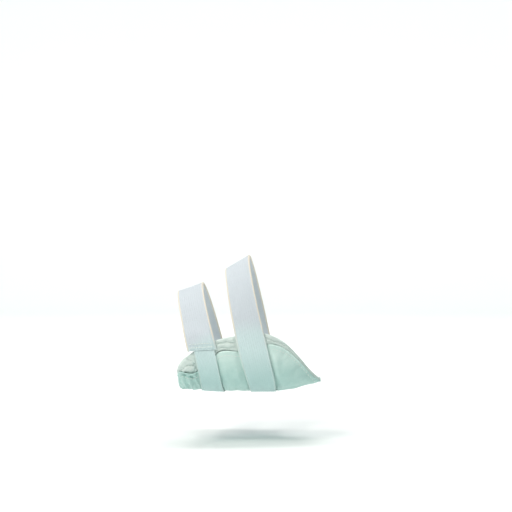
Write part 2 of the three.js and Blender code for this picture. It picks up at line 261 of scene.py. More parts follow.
def section_at(station):
    """A section's levels and widths at a station."""
    at = station / PAD_LENGTH
    base = read(OUTLINE, "base", at) * PAD_HEIGHT
    top = read(OUTLINE, "top", at) * PAD_HEIGHT
    below = np.hypot(WIDEST_LEVEL * (top - base), LEAST_TURN)
    return SimpleNamespace(
        base=base,
        top=top,
        below=below,
        widest=base + below,
        above=read(OUTLINE, "instep", at) * INSTEP_HEIGHT - base - below,
        medial=read(OUTLINE, "medial", at) * MEDIAL_WIDTH,
        lateral=read(OUTLINE, "lateral", at) * LATERAL_WIDTH,
    )


def wrapped_point(station, angle, depth=0.0):
    """The wrapped foot's surface, a depth inside it. Each quarter of a section is the curve
    y = width |cos|^(2/bend), z = height |sin|^(2/bend), and sections lean to the toes. The toe
    end's foot spreads forward by up to TOE_SPREAD, which fades out at station 11 and height 13."""
    section = section_at(station)
    cosine, sine = np.cos(angle), np.sin(angle)
    upper, medial = sine >= 0, cosine < 0
    bend = np.where(
        upper,
        np.where(medial, BENDS.top_medial, BENDS.top_lateral),
        np.where(medial, BENDS.base_medial, BENDS.base_lateral),
    )
    width = np.where(medial, section.medial, section.lateral) - depth
    full = np.where(upper, section.above, section.below)
    height = np.maximum(full - depth, LEAST_HEIGHT * full)
    y = np.sign(cosine) * width * np.abs(cosine) ** (2 / bend)
    z = section.widest + np.sign(sine) * height * np.abs(sine) ** (2 / bend)
    spread = TOE_SPREAD * (1 - smoothstep(station, 0, 11)) * (1 - smoothstep(z, 1, 13))
    return np.stack(np.broadcast_arrays(station - z * LEAN - spread, y, z), axis=-1) - SEAT


def outward(station, angle):
    """The direction square to the surface: the cross product of two short steps on it."""
    turn, stride = 0.02, 0.4
    around = wrapped_point(station, angle + turn) - wrapped_point(station, angle - turn)
    along = wrapped_point(station + stride, angle) - wrapped_point(station - stride, angle)
    square = np.cross(around, along)
    return square / np.linalg.norm(square, axis=-1, keepdims=True)


def end_turn(station):
    """How far the padding's two ends turn inwards: a quarter circle of TOE_ROUND or TIP_ROUND."""
    inside = np.minimum(station, PAD_LENGTH - station)
    round_off = np.where(station < PAD_LENGTH / 2, TOE_ROUND, TIP_ROUND)
    to_edge = np.clip(round_off - inside, 0, round_off)
    return round_off - np.sqrt(round_off**2 - to_edge**2)


def padding_point(station, angle, depth, lift=0.0):
    """A point of the padding: a depth inside the surface, then lifted square to it."""
    square = outward(station, angle) * np.expand_dims(lift, -1)
    return wrapped_point(station, angle, depth + end_turn(station)) + square


def quarter_turn(part, whole, bend):
    """The angle at a share of a quarter's height or width."""
    return np.arcsin(np.minimum(1, np.abs(part) / whole) ** (bend / 2))


def angle_at_height(station, height):
    """The angle on the arch side at a height."""
    section = section_at(station)
    rise = height - section.widest
    up = math.pi - quarter_turn(rise, section.above, BENDS.top_medial)
    down = math.pi + quarter_turn(rise, section.below, BENDS.base_medial)
    return np.where(rise >= 0, up, down)


def angle_at_depth(station, depth):
    """The angle on the arch side at a depth below the padding's top edge."""
    return angle_at_height(station, section_at(station).top - depth)


def inner_edge_angle(station):
    """The angle under the sole where the padding ends."""
    section = section_at(station)
    across = read(PADDING, "reach", station / PAD_LENGTH) * PAD_REACH - section.medial
    short = 1.5 * math.pi - quarter_turn(across, section.medial, BENDS.base_medial)
    far = 1.5 * math.pi + quarter_turn(across, section.lateral, BENDS.base_lateral)
    return np.where(across < 0, short, far)


def seam_depth(station):
    """How far the rim's seam is below the top edge."""
    return read(PADDING, "rim", station / PAD_LENGTH) * RIM_WIDTH


def seam_angle(station, below=0.0):
    """The angle at the cover's top edge, or at a depth below it."""
    return angle_at_depth(station, seam_depth(station) + SEAM_GAP + below)


def seam_closed(station):
    """How far the rim has slipped down over the gap at the seam, as a share of the gap: it is open
    beside the front strap, closed to the heel and uneven at the toe end."""
    toe = 1 - smoothstep(station, 10, 14)
    uneven = 0.85 + 0.2 * np.cos(station * math.pi / 2)
    return 0.25 + 0.7 * smoothstep(station, 31, 40) + toe * uneven


def strap_at(course, at, angle):
    """The station of a strap's middle, and its width, at an angle."""
    turns = (angle - math.pi / 2) / (2 * math.pi)
    middle = at + read(course, "shift", turns) * STRAP_WIDTH
    return middle, read(course, "width", turns) * STRAP_WIDTH


def lap_angles():
    """The angles of the front strap's lap on the arch side: its lower and its upper end."""
    at = np.array(FRONT_STRAP_AT)
    foot = float(angle_at_height(at, LAP_FOOT_HEIGHT))
    return foot, float(angle_at_height(at, LAP_FOOT_HEIGHT + LAP_LENGTH))


def beside_straps(station, angle):
    """How far a place on the padding is clear of the nearer strap. The front strap's last stretch
    counts down to the lap's lower end, and its narrower first stretch below it."""
    foot, _ = lap_angles()
    below = smoothstep(angle, foot + 0.05, foot + 0.15)
    last, last_width = strap_at(FRONT_COURSE, FRONT_STRAP_AT, angle + 2 * math.pi)
    first, first_width = strap_at(FRONT_COURSE, FRONT_STRAP_AT, angle)
    front = last + (first - last) * below
    front_width = last_width + (first_width - last_width) * below
    rear, rear_width = strap_at(REAR_COURSE, REAR_STRAP_AT, angle)
    return np.minimum(
        np.abs(station - front) - front_width / 2,
        np.abs(station - rear) - rear_width / 2,
    )


def heel_side(station, angle):
    """1 to the heel of the rear strap, and 0 to its toe side."""
    rear, _ = strap_at(REAR_COURSE, REAR_STRAP_AT, angle)
    return smoothstep(station - rear, 0, 4)


def free_share(station, angle):
    """1 where the padding is free to swell, and 0 under the straps and at its two ends."""
    from_ends = smoothstep(station, 0, 6) * smoothstep(PAD_LENGTH - station, 0, 28)
    return smoothstep(beside_straps(station, angle), 0.1, 4.5) * from_ends


def even_parts(station, start, end, count):
    """Angles from start to end at even lengths round each section, one row for each station. The
    curve of length by angle is read backwards, for every row in one go."""
    part = np.linspace(0, 1, 300)
    fine = start[:, None] + (end - start)[:, None] * part
    points = wrapped_point(station[:, None], fine)
    steps = np.linalg.norm(np.diff(points, axis=1), axis=2)
    length = np.pad(np.cumsum(steps, axis=1), ((0, 0), (1, 0)))
    row = 2.0 * np.arange(len(station))[:, None]
    wanted = (row + np.linspace(0, 1, count)).ravel()
    known = (row + length / length[:, -1:]).ravel()
    angle = np.interp(wanted, known, fine.ravel()).reshape(len(station), count)
    return angle, length[:, -1:]


def ripple(x, y, pitch, seed=0.0):
    """A soft uneven wave, from -1 to 1: three crossing sine waves whose pitches don't repeat."""
    u, v = x / pitch * 2 * math.pi, y / pitch * 2 * math.pi
    first = np.sin(u + 1.7 * np.sin(0.61 * v + seed))
    second = np.sin(0.83 * v + 1.3 * np.sin(0.47 * u + 2 * seed))
    third = np.sin(0.57 * u - 0.71 * v + 3 * seed)
    return (first + second + third) / 3


def creases(rows, station, height):
    """Long dents with a low ridge beside them, each a bell across and flat topped along."""
    total = np.zeros(np.broadcast(station, height).shape)
    for at, level, way, length, width, depth in zip(*rows.values()):
        x, z = station - at, height - level
        c, s = math.cos(math.radians(way)), math.sin(math.radians(way))
        along, across = (x * c + z * s) / length, (z * c - x * s) / width
        bell = np.exp(-(across**2)) - 0.7 * np.exp(-((across - 1.9) ** 2))
        total -= depth * bell * np.exp(-(along**4))
    return total


def grid_faces(rows, columns, endless):
    """Four-sided faces of a grid that is closed round its columns, and the grid places of their
    corners, where the place after the last column or row keeps its own number."""
    spans = rows if endless else rows - 1
    i, j = (a.ravel() for a in np.mgrid[0:spans, 0:columns])
    corner_rows = np.stack([i, i, i + 1, i + 1], axis=1)
    corner_columns = np.stack([j, j + 1, j + 1, j], axis=1)
    return (corner_rows % rows) * columns + corner_columns % columns, corner_rows, corner_columns


def end_faces(first, columns):
    """Faces across one end of a closed band: each column joins the one that lies over it."""
    j = np.arange(columns // 2 - 1)
    over = columns - 1 - j
    return first + np.stack([j, j + 1, over - 1, over], axis=1)


def look_outwards(points, faces):
    """Whether a closed surface's faces look outwards, by the sign of the volume that they hold."""
    a, b, c, d = (points[faces[:, k]] for k in range(4))
    volume = (a * np.cross(b, c)).sum() + (a * np.cross(c, d)).sum()
    return volume > 0


def closed_band(name, points, lengths, rounds, endless=False):
    """A closed surface from points by row and column, the columns going once round its section.
    Its UV map is the length along and the length round, in metres, so that a pattern keeps its
    real size."""
    rows, columns = points.shape[:2]
    flat = points.reshape(-1, 3) * MM
    faces, corner_rows, corner_columns = grid_faces(rows, columns, endless)
    u = np.append(lengths, lengths[-1] + lengths[1])[corner_rows] * MM
    v = np.append(rounds, rounds[-1] + rounds[1])[corner_columns] * MM
    if not endless:
        first, last = end_faces(0, columns)[:, ::-1], end_faces((rows - 1) * columns, columns)
        faces = np.concatenate([faces, first, last])
        ends = np.concatenate([first % columns, last % columns])
        v = np.concatenate([v, rounds[ends] * MM])
        u = np.concatenate([u, np.zeros(first.shape), np.full(last.shape, lengths[-1] * MM)])
    if not look_outwards(flat, faces):
        faces, u, v = faces[:, ::-1], u[:, ::-1], v[:, ::-1]
    return mesh_object(name, flat, faces, np.stack([u, v], axis=-1))


def mesh_object(name, points, faces, uv):
    """A smooth shaded object of four-sided faces, in metres."""
    mesh = bpy.data.meshes.new(name)
    mesh.vertices.add(len(points))
    mesh.vertices.foreach_set("co", points.ravel())
    mesh.loops.add(faces.size)
    mesh.loops.foreach_set("vertex_index", faces.ravel())
    mesh.polygons.add(len(faces))
    mesh.polygons.foreach_set("loop_start", np.arange(0, faces.size, 4))
    mesh.polygons.foreach_set("use_smooth", np.ones(len(faces), bool))
    mesh.uv_layers.new(name="cloth").uv.foreach_set("vector", uv.ravel())
    mesh.update(calc_edges=True)
    mesh.validate()
    obj = bpy.data.objects.new(name, mesh)
    bpy.context.scene.collection.objects.link(obj)
    return obj


def mark_points(obj, name, values):
    """A number from 0 to 1 on every point, for the material to read."""
    obj.data.attributes.new(name, "FLOAT", "POINT").data.foreach_set("value", values.ravel())


def padding_rows(count):
    """Stations from the toe end to the heel tip, closer together towards both."""
    part = np.linspace(0, 1, count)
    return (part - 0.13 * np.sin(2 * math.pi * part)) * PAD_LENGTH


def path_length(path):
    """The length from a path's first point to each of its points."""
    return np.append(0, np.cumsum(np.linalg.norm(np.diff(path, axis=0), axis=1)))


def layered_band(name, parts):
    """A closed band from the parts of its sections, and its points. The last column is left out
    where their number is odd, because the columns join in pairs at the two ends."""
    points = np.concatenate(parts, axis=1)
    points = points[:, : points.shape[1] // 2 * 2]
    lengths, rounds = path_length(points[:, 0]), path_length(points[len(points) // 2])
    return closed_band(name, points, lengths, rounds), points


def section_height(points):
    """Heights above the sole's lowest level, as the tables give them."""
    return points[..., 2] + SEAT[2]


# The cover: a smooth knit cloth with a turned hem at its top edge.


def clear_of_straps(station, angle):
    """0 at a strap's edge and 1 from 2 mm beside it."""
    return smoothstep(beside_straps(station, angle), 0.3, 2.0)


def strap_press(station, angle):
    """What the straps press out of the foam beside them: a rise low down and under the sole, and to
    the heel of the rear strap a groove higher up."""
    beside = beside_straps(station, angle)
    to_heel = heel_side(station, angle)
    sole = smoothstep(np.cos(angle - 1.46 * math.pi), 0.2 + 0.6 * to_heel, 0.98)
    rise = (1.0 + 0.3 * to_heel) * np.exp(-np.abs(beside - 1) / 5) * sole
    rise = rise * smoothstep(beside, -0.3, 0.3) * smoothstep(PAD_LENGTH - station, 0, 20)
    groove = 0.4 * np.exp(-(((beside - 0.5) / 0.7) ** 2)) * to_heel
    return rise - groove * (1 - sole)


def cover_lift(station, angle, down, settings):
    """How far the cover's outer face stands off the surface: a belly between the straps, what the
    straps press out, the hem's double cloth with its stitched row, soft waves that are strongest
    at the toe end, and creases on the arch side."""
    seam = seam_angle(station)
    belly = np.clip(0.12 + 0.88 * (angle - seam) / (1.45 * math.pi - seam), 0, 1) ** 0.75
    swell = settings.swell / MM * np.sin(math.pi * belly) * free_share(station, angle)
    hem = 1 - smoothstep(down, 3.2, 4.4)
    stitched = np.exp(-(((down - settings.hem_width / MM) / 0.55) ** 2))
    height = section_height(wrapped_point(station, angle))
    wave = 0.16 * ripple(station, height, 17.0, 0.4) + 0.07 * ripple(station, height, 6.1, 2.2)
    toe = 1 - smoothstep(station, 8, 13)
    wave = wave + 0.4 * toe * ripple(station, height, 4.8, 1.3)
    arch_side = 1 - smoothstep(angle, 1.35 * math.pi, 1.5 * math.pi)
    folds = creases(COVER_CREASES, station, height) * arch_side * settings.wrinkle
    relief = HEM_RISE * hem - STITCH_DENT * stitched + wave + folds
    return swell + strap_press(station, angle) + clear_of_straps(station, angle) * relief


def make_cover(settings):
    """The outer cover: one cloth from the seam under the rim, round the arch side and under the
    sole to its inner edge. Each row is a section: the outer face and the inner face, which meet in
    a round edge and in a beaded hem. Also the flat cloth's width and its area."""
    station = padding_rows(280)
    angle, girth = even_parts(station, seam_angle(station), inner_edge_angle(station), 120)
    down = np.linspace(0, 1, 120) * girth
    grid = np.broadcast_to(station[:, None], angle.shape)
    lift = cover_lift(grid, angle, down, settings)
    lift = lift * smoothstep(girth - down, 0, 5) * smoothstep(grid, 0, 2.5)
    half = COVER_THICKNESS / 2
    edge = np.minimum(down, girth - down)
    thin = half * (1 - np.sqrt(np.clip(1 - (1 - edge / half) ** 2, 0, 1))) * (edge < half)
    end = np.minimum(grid, PAD_LENGTH - grid)
    thin = np.maximum(thin, half * (1 - smoothstep(end, 0, half)))
    bead = 0.5 * np.exp(-((down - 0.9) ** 2) / 0.4) * clear_of_straps(grid, angle)
    outer = padding_point(grid, angle, thin, lift + bead)
    inner = padding_point(grid, angle, COVER_THICKNESS - thin, lift * 0.9)
    cover, points = layered_band("outer_cover_cloth", [outer, inner[:, ::-1]])
    # Painted light: the cover's colour is painted paler towards its top and deeper lower down, as
    # shade.
    mark_points(cover, "painted_light", smoothstep(section_height(points) / PAD_HEIGHT, 0.25, 0.85))
    return cover, float(girth.max()), float((girth[:, 0] * np.gradient(station)).sum())


# The rim: a cloth binding gathered over the cushion's lip.


def rim_lift(station, down_share, settings):
    """How far the rim stands off the surface: long rounded folds with sharp valleys that wander
    along the rim, crossed by short gathers, and at the toe end's corner a full roll with lumps and
    fewer folds."""
    wide = read(PADDING, "rim", station / PAD_LENGTH)
    corner = 1 - smoothstep(station, 7, 13)
    share = np.clip(down_share, 0, 1)
    wander = 0.4 * ripple(station, 5 * down_share, 15.0, 1.1)
    wander = (1 - 0.7 * corner) * (wander + 0.22 * ripple(station, 9 * down_share, 5.7, 0.3))
    slope = 0.05 * (station - 6) * corner + 0.03 * (station - 34) * (1 - corner)
    count = settings.folds * (0.45 + 0.55 * wide) * (1 - 0.35 * corner)
    fold = np.abs(np.sin(math.pi * (down_share * count + wander + slope))) ** 0.6
    gather = np.abs(np.sin(station * math.pi / 2.7 + 2.2 * ripple(station, 9 * down_share, 9.0)))
    depth = settings.fold_depth / MM * (0.25 + 0.75 * wide)
    lumps = 0.55 * corner * ripple(station, 11 * down_share, 5.2, 0.9)
    relief = depth * (fold - 0.35) + 0.3 * (gather**0.5 - 0.5) * wide + lumps
    roll = 1.6 * corner * np.sin(math.pi * share**0.8) ** 0.8
    return np.sin(math.pi * share) ** 0.5 * relief + roll


def make_rim(settings):
    """The gathered rim. Each row is a section: the outer face from the seam up to near the top
    edge, round it and down the foot side, and back through the slot that holds the cushion's lip.
    Also the flat cloth's width and its area."""
    station = padding_rows(420)
    column = station[:, None]
    lip = read(PADDING, "lip", column / PAD_LENGTH)
    slot = INSET + lip * LIP_THICKNESS + LAYER_GAP
    foot_side = (slot + COVER_THICKNESS) * (0.35 + 0.65 * smoothstep(PAD_LENGTH - column, 0, 9))
    leg = lip * LIP_DEPTH - 2 * LAYER_GAP
    seam = seam_depth(column)
    near_top = 0.12
    face = np.linspace(1, near_top, 60)
    grid = np.broadcast_to(column, (len(station), len(face)))
    angle = angle_at_depth(grid, face * (seam + SEAM_GAP * seam_closed(column)))
    lift = rim_lift(grid, np.broadcast_to(face, grid.shape), settings)
    free = smoothstep(beside_straps(grid, angle), 0.2, 2.4)
    ends = smoothstep(np.minimum(grid, PAD_LENGTH - grid), 0, 4)
    lift = np.where(lift > 0, lift * free, lift) * ends
    outer = padding_point(grid, angle, 0.25 * (face > 0.985), lift)

    def steps(count):
        return np.linspace(0, 1, count)[1:]

    def row_points(down, depth):
        spot = np.broadcast_to(column, np.broadcast(column, down).shape)
        return padding_point(spot, angle_at_depth(spot, down), depth)

    turn = math.pi * steps(22)
    level = 1 - np.sin(turn)
    over = near_top * (seam * (1 - steps(22)) + foot_side * steps(22) * level) * level
    top = row_points(over, foot_side * (1 - np.cos(turn)) / 2)
    start = over[:, -1:]
    back = row_points(start + (leg - start) * steps(16), foot_side)
    thick = steps(5)
    edge = row_points(leg + 0.4 * np.sin(math.pi * thick), foot_side - COVER_THICKNESS * thick)
    slot_back = row_points(leg + (COVER_THICKNESS - leg) * steps(14), slot)
    past_lip = slot + (COVER_THICKNESS - slot) * steps(8)
    slot_top = row_points(np.full((1, 7), COVER_THICKNESS), past_lip)
    slot_front = row_points(COVER_THICKNESS + (seam - COVER_THICKNESS) * steps(30), COVER_THICKNESS)
    parts = [outer, top, back, edge, slot_back, slot_top, slot_front]
    rim, points = layered_band("top_rim_cloth", parts)
    # Painted light: the rim is painted paler towards its top and more so to the heel, and at the toe
    # corner it is painted darker low down with a painted highlight higher up.
    height = section_height(points) / PAD_HEIGHT
    to_heel = smoothstep(column, 54, 64)
    to_toe = 1 - smoothstep(column, 7, 13)
    painted_light = smoothstep(height, 0.1 - 0.1 * to_heel, 0.9 - 0.3 * to_heel) * (0.72 + 0.4 * to_heel)
    mark_points(rim, "painted_light", painted_light + to_toe * (0.75 * smoothstep(height, 0.27, 0.45) - 0.15))
    cloth = (seam + foot_side + leg)[:, 0]
    return rim, float(cloth.max()), float((cloth * np.gradient(station)).sum())


# The straps: woven elastic with lengthwise ribs and a cream selvedge at each edge.


def edge_fall(across):
    """How much of a lap's lift is left across a strap: all of it in the middle, and 0.4 of it at
    the edges, which are pulled down to the layer below."""
    return 1 - 0.6 * smoothstep(np.abs(across), 0.74, 0.95)


def slanted(station, middle, angle, slant):
    """The angles of a row across a strap. A slant of 0 keeps the angle of its middle, and one of 1
    keeps its height."""
    level = section_height(wrapped_point(middle, angle))
    return angle + slant * (angle_at_height(station, level) - angle_at_height(middle, level))


def strap_band(name, course, at, angle, lift, slant, settings, endless):
    """A ribbed band along a course. Each row is a section across it: the ribbed outer face, a round
    selvedge, the flat inner face and the other selvedge. The ends of an open band are pressed flat.
    It is marked with its selvedges and with its painted mint bounce light and painted shade."""
    middle, width = strap_at(course, at, angle)
    length = path_length(wrapped_point(middle, angle))
    even = np.linspace(-1, 1, 105)
    across = 0.25 * np.sin(even * math.pi / 2) + 0.75 * even
    edging = 2 * settings.selvedge / STRAP_WIDTH / MM
    selvedge = smoothstep(np.abs(across), 1 - edging, 1 - 0.6 * edging)
    place = across * STRAP_WIDTH / 2
    rib = 0.5 + 0.5 * np.cos(2 * math.pi * place / (settings.rib_pitch / MM))
    raised = settings.rib_depth / MM * (rib**0.7 * (1 - selvedge) + 1.2 * selvedge)
    edge = np.sqrt(1 - np.clip((np.abs(across) - 0.94) / 0.06, 0, 1) ** 2)
    half = np.full((len(angle), 1), STRAP_THICKNESS / 2)
    end = np.ones(half.shape)
    if not endless:
        to_end = np.minimum(length, length[-1] - length)[:, None]
        end = np.sqrt(1 - np.clip(1 - to_end / half, 0, 1) ** 2)
        half = half * (0.3 + 0.7 * smoothstep(to_end, 0, 5))
    thick = half * edge * end
    mid = LAYER_GAP + half + lift[:, None] * edge_fall(across)
    station = middle[:, None] + across * width[:, None] / 2
    turn = slanted(station, middle[:, None], angle[:, None], slant[:, None])
    square = outward(station, turn)
    surface = wrapped_point(station, turn)
    rise = (raised + 0.05 * ripple(station, 30 * turn, 11.0, at)) * edge * end
    top = surface + square * (mid + thick + rise)[..., None]
    under = surface + square * (mid - thick + 0.3 * rise)[..., None]
    points = np.concatenate([top, under[:, ::-1]], axis=1)
    rounds = np.append(place, place[-1] + STRAP_THICKNESS + (place[-1] - place[::-1]))
    band = closed_band(name, points, length, rounds - rounds[0], endless)
    both = [np.concatenate([grid, grid[..., ::-1]], axis=-1) for grid in (selvedge, station, turn)]
    # Painted light: over the cloth the strap is painted mint as bounce light and darker lower down
    # as shade, and its cream selvedge is painted out there.
    cloth = painted_bounce_and_shade(points, both[1], both[2])
    mark_points(band, "selvedge", both[0] * (1 - 0.85 * smoothstep(cloth, 0.05, 0.45)))
    mark_points(band, "painted_bounce_shade", cloth)
    return band


def painted_bounce_and_shade(points, station, angle):
    """How much painted mint bounce light and painted shade a strap gets from the cloth under it:
    none high above the padding or past its inner edge, a little from near its top edge, and more
    down to the sole."""
    section = section_at(station)
    height = section_height(points)
    down = (section.top - height) / (section.top - section.base)
    angle = angle % (2 * math.pi)
    past = smoothstep(angle - inner_edge_angle(station), -0.05, 0.12)
    # Painted shade: darker towards the sole.
    deep = smoothstep(height / PAD_HEIGHT, 0.85, 0.15)
    return (angle > math.pi / 2) * (1 - past) * (0.35 * smoothstep(down, -0.3, 0.12) + 0.65 * deep)


def even_turns(course, at, start, end, count):
    """Angles from start to end at even lengths along a strap's middle."""
    fine = np.linspace(start, end, 2000)
    length = path_length(wrapped_point(strap_at(course, at, fine)[0], fine))
    return np.interp(np.linspace(0, length[-1], count), length, fine)


def make_rear_strap(settings):
    """The rear strap: one endless band."""
    angle = even_turns(REAR_COURSE, REAR_STRAP_AT, 0.5 * math.pi, 2.5 * math.pi, 361)[:-1]
    level = np.zeros(len(angle))
    return strap_band(
        "rear_strap_elastic", REAR_COURSE, REAR_STRAP_AT, angle, level, level, settings, True
    )


def make_front_strap(settings):
    """The front strap: a band whose last stretch lies over its first one."""
    foot, head = lap_angles()
    full = 2 * math.pi
    angle = even_turns(FRONT_COURSE, FRONT_STRAP_AT, head, foot + full, 450)
    before = head + full - angle
    lift = (STRAP_THICKNESS + LAYER_GAP) * (1 - smoothstep(before, 0.02, 2 * (foot - head)))
    from_end = np.minimum(angle - head, foot + full - angle)
    slant = LAP_SLANT * (1 - smoothstep(from_end, 0.1, 0.9))
    return strap_band(
        "front_strap_elastic", FRONT_COURSE, FRONT_STRAP_AT, angle, lift, slant, settings, False
    )


# The cushion: foam with a brushed liner on the foot side.


def seat_points(station, count):
    """The foot side of the cushion: a cubic curve from the lip's foot down the wall, over the arch
    and to the thin inner edge."""
    at = station / PAD_LENGTH
    lip = read(PADDING, "lip", at)
    lip_inset = INSET + lip * LIP_THICKNESS
    start = padding_point(station, angle_at_depth(station, lip * LIP_DEPTH), lip_inset)
    end = padding_point(station, inner_edge_angle(station), INSET + EDGE_THICKNESS)
    arch = section_at(station).base + read(PADDING, "arch", at) * ARCH_HEIGHT - SEAT[2]
    arch = np.minimum(np.maximum(arch, end[:, 2]), start[:, 2])

    def control(across, height):
        y = start[:, 1] + (end[:, 1] - start[:, 1]) * across
        x = station - (height + SEAT[2]) * LEAN - SEAT[0]
        return np.stack([x, y, height], axis=1)[:, None]

    wall = control(0.03, start[:, 2] + (arch - start[:, 2]) * 0.75)
    crown = control(0.4, arch)
    t = np.linspace(0, 1, count)[:, None]
    start, end = start[:, None], end[:, None]
    return (
        start * (1 - t) ** 3
        + 3 * wall * t * (1 - t) ** 2
        + 3 * crown * t**2 * (1 - t)
        + end * t**3
    )


def make_cushion(settings):
    """The arch cushion. Each row is a section: the lip's outer face, the outer side under the
    cover, the seat and the lip's foot side. To both ends the seat sinks to a thin shell over the
    outer side. The fill's simulation holds all but the seat."""
    station = np.linspace(0.014, 0.985, 130) * PAD_LENGTH
    column = station[:, None]
    lip = read(PADDING, "lip", column / PAD_LENGTH)
    lip_top = COVER_THICKNESS + SEAM_GAP
    lip_foot = lip * LIP_DEPTH
    seam = seam_depth(column) + SEAM_GAP
    lip_down = lip_top + (seam - lip_top) * np.linspace(0, 1, 12)[:-1]
    lip_up = lip_foot + (lip_top - lip_foot) * np.linspace(0, 1, 14)[1:]
    inner_edge = inner_edge_angle(station)
    angle, _ = even_parts(station, seam_angle(station), inner_edge, 58)
    lip_face = padding_point(column, angle_at_depth(column, lip_down), INSET)
    sewn = np.linspace(0, 1, 58) ** 6
    toe = 1 - smoothstep(column, 1, 4)
    outside = padding_point(column, angle, INSET + 0.2 - 0.35 * sewn - 0.6 * toe)
    shell, _ = even_parts(station, angle_at_depth(station, lip_foot[:, 0]), inner_edge, 60)
    shell = padding_point(column, shell, INSET + 0.5)
    thin = 1 - smoothstep(column, 0, 3) * smoothstep(station[-1] - column, 0, 12)
    seat = seat_points(station, 60) * (1 - thin[..., None]) + shell * thin[..., None]
    lip_side = padding_point(column, angle_at_depth(column, lip_up), INSET + lip * LIP_THICKNESS)
    parts = [lip_face, outside, seat[:, ::-1], lip_side]
    cushion, points = layered_band("arch_cushion_liner", parts)
    across = np.zeros(points.shape[1])
    first = lip_face.shape[1] + outside.shape[1]
    across[first : first + 60] = np.sin(np.linspace(0, math.pi, 60)) ** 0.5
    along = np.sin(np.linspace(0, math.pi, len(station))) ** 0.4
    swell_foam(cushion, 1 - along[:, None] * across, settings)
    return cushion


def swell_foam(obj, held, settings):
    """A cloth simulation that fills the liner on the foot side and holds it elsewhere. It runs at
    SIM_SCALE times the real size, because the solver suits things as large as furniture."""
    scene = bpy.context.scene
    pinned = obj.vertex_groups.new(name="held")
    weights = held.ravel()
    for level in np.unique(np.round(weights, 1)):
        pinned.add(np.flatnonzero(np.round(weights, 1) == level).tolist(), float(level), "REPLACE")
    start = np.empty(3 * len(obj.data.vertices))
    obj.data.vertices.foreach_get("co", start)
    obj.data.vertices.foreach_set("co", start * SIM_SCALE)
    cloth = obj.modifiers.new("foam", "CLOTH")
    cloth.settings.quality = 6
    cloth.settings.mass = 0.3
    cloth.settings.use_pressure = True
    cloth.settings.uniform_pressure_force = settings.pressure
    cloth.settings.effector_weights.gravity = 0
    cloth.settings.vertex_group_mass = pinned.name
    cloth.settings.pin_stiffness = 0.3
    for step in range(1, SIM_FRAMES + 1):
        scene.frame_set(step)
    shape = obj.evaluated_get(bpy.context.evaluated_depsgraph_get()).data
    end = np.empty_like(start)
    shape.vertices.foreach_get("co", end)
    obj.modifiers.remove(cloth)
    scene.frame_set(1)
    move = (end / SIM_SCALE - start).reshape(-1, 3)
    far = np.linalg.norm(move, axis=1, keepdims=True)
    cap = settings.swell
    move *= cap * np.tanh(far / cap) / np.maximum(far, 1e-9)
    obj.data.vertices.foreach_set("co", (start.reshape(-1, 3) + move).ravel())
    obj.data.update()


# Stitches: short arcs of thread that dive into the cloth at both ends.


def stitch_mesh(name, centres, along, out, length):
    """One arc of thread at each centre: a six-sided tube whose path is the centre, plus along times
    length / 2 times t, plus out times 0.75 THREAD (1 - 2 t^4), for t from -1 to 1. Its radius is
    THREAD / 2 times the root of 1.02 - t^6."""
    rings, sides = 7, 6
    t = np.linspace(-1, 1, rings)
    ring = np.linspace(0, 2 * math.pi, sides + 1)[:-1]
    along = along / np.linalg.norm(along, axis=1, keepdims=True)
    out = out - along * (out * along).sum(axis=1, keepdims=True)
    out = out / np.linalg.norm(out, axis=1, keepdims=True)
    side = np.cross(along, out)
    path = (
        centres[:, None]
        + along[:, None] * (t * length / 2)[:, None]
        + out[:, None] * (0.75 * THREAD * (1 - 2 * t**4))[:, None]
    )
    radius = THREAD / 2 * np.sqrt(1.02 - t**6)
    circle = (
        out[:, None, None] * np.cos(ring)[:, None] + side[:, None, None] * np.sin(ring)[:, None]
    )
    points = (path[:, :, None] + circle * radius[:, None, None]).reshape(-1, 3) * MM
    i, j = (a.ravel() for a in np.mgrid[0 : rings - 1, 0:sides])
    k = (j + 1) % sides
    here, ahead = i * sides, (i + 1) * sides
    tube = np.stack([here + j, here + k, ahead + k, ahead + j], axis=1)
    cap = np.array([[3, 2, 1, 0], [5, 4, 3, 0]])
    one = np.concatenate([tube, cap, cap[:, ::-1] + (rings - 1) * sides])
    faces = (one + np.arange(len(centres))[:, None, None] * rings * sides).reshape(-1, 4)
    if not look_outwards(points, faces):
        faces = faces[:, ::-1]
    return mesh_object(name, points, faces, np.zeros((faces.size, 2)))


def spaced(path, pitch, *vectors):
    """Vectors that are given at a path's points, at an even pitch along it."""
    length = path_length(path)
    wanted = np.arange(pitch / 2, length[-1], pitch)
    return [
        np.stack([np.interp(wanted, length, vector[:, k]) for k in range(3)], axis=1)
        for vector in vectors
    ]


def run_of_stitches(path, out, pitch):
    """Centres, ways and outward directions of stitches along a path."""
    return spaced(path, pitch, path, np.gradient(path, axis=0), out)


